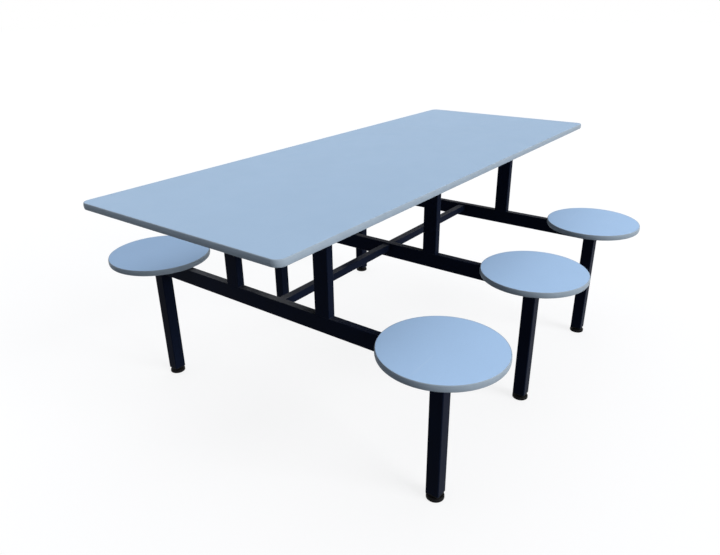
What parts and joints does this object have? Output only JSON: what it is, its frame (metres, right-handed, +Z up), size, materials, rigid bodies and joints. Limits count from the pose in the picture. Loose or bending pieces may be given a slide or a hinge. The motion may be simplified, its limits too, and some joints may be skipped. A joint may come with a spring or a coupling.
{
  "type": "table with attached swivel seats",
  "caption": "Rectangular canteen table with pale laminated top and round swivel seats on legs joined by cross beams, with a centre rail and levelling feet.",
  "frame": {"origin": "on the floor under the middle of the tabletop", "axes": "+X along the tabletop's length towards the rear row of seats, +Y to the left side, +Z up"},
  "size_m": [1.8, 1.397, 0.75],
  "materials": {
    "faced_board": "satin pale blue facing",
    "edge_band": "satin grey",
    "frame_paint": "semi-gloss black powder coat",
    "zinc_steel": "bright zinc",
    "bush_nylon": "natural nylon",
    "foot_plastic": "moulded black"
  },
  "bodies": {
    "frame": {"tabletop_panel": "faced_board", "tabletop_edge_band": "edge_band", "top_bearers": "frame_paint", "bearer_screws": "zinc_steel", "cross_beam_front": "frame_paint", "post_front_left": "frame_paint", "seat_leg_front_left": "frame_paint", "post_front_right": "frame_paint", "seat_leg_front_right": "frame_paint", "cross_beam_middle": "frame_paint", "post_middle_left": "frame_paint", "seat_leg_middle_left": "frame_paint", "post_middle_right": "frame_paint", "seat_leg_middle_right": "frame_paint", "cross_beam_rear": "frame_paint", "post_rear_left": "frame_paint", "seat_leg_rear_left": "frame_paint", "post_rear_right": "frame_paint", "seat_leg_rear_right": "frame_paint", "centre_rail_front": "frame_paint", "centre_rail_rear": "frame_paint", "swivel_bushes": "bush_nylon", "spindle_retainers": "zinc_steel", "leg_plugs": "foot_plastic"},
    "seat_front_left": {"seat_panel_front_left": "faced_board", "seat_edge_band_front_left": "edge_band", "seat_spindle_front_left": "zinc_steel", "seat_screws_front_left": "zinc_steel"},
    "pad_front_left": {"foot_pad_front_left": "foot_plastic"},
    "stud_front_left": {"foot_stud_front_left": "zinc_steel"},
    "seat_front_right": {"seat_panel_front_right": "faced_board", "seat_edge_band_front_right": "edge_band", "seat_spindle_front_right": "zinc_steel", "seat_screws_front_right": "zinc_steel"},
    "pad_front_right": {"foot_pad_front_right": "foot_plastic"},
    "stud_front_right": {"foot_stud_front_right": "zinc_steel"},
    "seat_middle_left": {"seat_panel_middle_left": "faced_board", "seat_edge_band_middle_left": "edge_band", "seat_spindle_middle_left": "zinc_steel", "seat_screws_middle_left": "zinc_steel"},
    "pad_middle_left": {"foot_pad_middle_left": "foot_plastic"},
    "stud_middle_left": {"foot_stud_middle_left": "zinc_steel"},
    "seat_middle_right": {"seat_panel_middle_right": "faced_board", "seat_edge_band_middle_right": "edge_band", "seat_spindle_middle_right": "zinc_steel", "seat_screws_middle_right": "zinc_steel"},
    "pad_middle_right": {"foot_pad_middle_right": "foot_plastic"},
    "stud_middle_right": {"foot_stud_middle_right": "zinc_steel"},
    "seat_rear_left": {"seat_panel_rear_left": "faced_board", "seat_edge_band_rear_left": "edge_band", "seat_spindle_rear_left": "zinc_steel", "seat_screws_rear_left": "zinc_steel"},
    "pad_rear_left": {"foot_pad_rear_left": "foot_plastic"},
    "stud_rear_left": {"foot_stud_rear_left": "zinc_steel"},
    "seat_rear_right": {"seat_panel_rear_right": "faced_board", "seat_edge_band_rear_right": "edge_band", "seat_spindle_rear_right": "zinc_steel", "seat_screws_rear_right": "zinc_steel"},
    "pad_rear_right": {"foot_pad_rear_right": "foot_plastic"},
    "stud_rear_right": {"foot_stud_rear_right": "zinc_steel"}
  },
  "joints": [
    {"name": "seat_swivel_front_left", "type": "hinge", "parent": "frame", "child": "seat_front_left", "pos_m": [-0.562, 0.536, 0.44], "axis": [0, 0, 1], "continuous": true},
    {"name": "foot_travel_front_left", "type": "slide", "parent": "frame", "child": "pad_front_left", "axis": [0, 0, -1], "range_m": [0, 0.01]},
    {"name": "stud_turn_front_left", "type": "hinge", "parent": "pad_front_left", "child": "stud_front_left", "pos_m": [-0.562, 0.536, 0.02], "axis": [0, 0, -1], "range_deg": [0, 2880]},
    {"name": "seat_swivel_front_right", "type": "hinge", "parent": "frame", "child": "seat_front_right", "pos_m": [-0.562, -0.536, 0.44], "axis": [0, 0, 1], "continuous": true},
    {"name": "foot_travel_front_right", "type": "slide", "parent": "frame", "child": "pad_front_right", "axis": [0, 0, -1], "range_m": [0, 0.01]},
    {"name": "stud_turn_front_right", "type": "hinge", "parent": "pad_front_right", "child": "stud_front_right", "pos_m": [-0.562, -0.536, 0.02], "axis": [0, 0, -1], "range_deg": [0, 2880]},
    {"name": "seat_swivel_middle_left", "type": "hinge", "parent": "frame", "child": "seat_middle_left", "pos_m": [0, 0.536, 0.44], "axis": [0, 0, 1], "continuous": true},
    {"name": "foot_travel_middle_left", "type": "slide", "parent": "frame", "child": "pad_middle_left", "axis": [0, 0, -1], "range_m": [0, 0.01]},
    {"name": "stud_turn_middle_left", "type": "hinge", "parent": "pad_middle_left", "child": "stud_middle_left", "pos_m": [0, 0.536, 0.02], "axis": [0, 0, -1], "range_deg": [0, 2880]},
    {"name": "seat_swivel_middle_right", "type": "hinge", "parent": "frame", "child": "seat_middle_right", "pos_m": [0, -0.536, 0.44], "axis": [0, 0, 1], "continuous": true},
    {"name": "foot_travel_middle_right", "type": "slide", "parent": "frame", "child": "pad_middle_right", "axis": [0, 0, -1], "range_m": [0, 0.01]},
    {"name": "stud_turn_middle_right", "type": "hinge", "parent": "pad_middle_right", "child": "stud_middle_right", "pos_m": [0, -0.536, 0.02], "axis": [0, 0, -1], "range_deg": [0, 2880]},
    {"name": "seat_swivel_rear_left", "type": "hinge", "parent": "frame", "child": "seat_rear_left", "pos_m": [0.562, 0.536, 0.44], "axis": [0, 0, 1], "continuous": true},
    {"name": "foot_travel_rear_left", "type": "slide", "parent": "frame", "child": "pad_rear_left", "axis": [0, 0, -1], "range_m": [0, 0.01]},
    {"name": "stud_turn_rear_left", "type": "hinge", "parent": "pad_rear_left", "child": "stud_rear_left", "pos_m": [0.562, 0.536, 0.02], "axis": [0, 0, -1], "range_deg": [0, 2880]},
    {"name": "seat_swivel_rear_right", "type": "hinge", "parent": "frame", "child": "seat_rear_right", "pos_m": [0.562, -0.536, 0.44], "axis": [0, 0, 1], "continuous": true},
    {"name": "foot_travel_rear_right", "type": "slide", "parent": "frame", "child": "pad_rear_right", "axis": [0, 0, -1], "range_m": [0, 0.01]},
    {"name": "stud_turn_rear_right", "type": "hinge", "parent": "pad_rear_right", "child": "stud_rear_right", "pos_m": [0.562, -0.536, 0.02], "axis": [0, 0, -1], "range_deg": [0, 2880]}
  ],
  "couplings": [
    {"joint": "foot_travel_front_left", "follows": "stud_turn_front_left", "m_per_rad": 0.00019894},
    {"joint": "foot_travel_front_right", "follows": "stud_turn_front_right", "m_per_rad": 0.00019894},
    {"joint": "foot_travel_middle_left", "follows": "stud_turn_middle_left", "m_per_rad": 0.00019894},
    {"joint": "foot_travel_middle_right", "follows": "stud_turn_middle_right", "m_per_rad": 0.00019894},
    {"joint": "foot_travel_rear_left", "follows": "stud_turn_rear_left", "m_per_rad": 0.00019894},
    {"joint": "foot_travel_rear_right", "follows": "stud_turn_rear_right", "m_per_rad": 0.00019894}
  ]
}
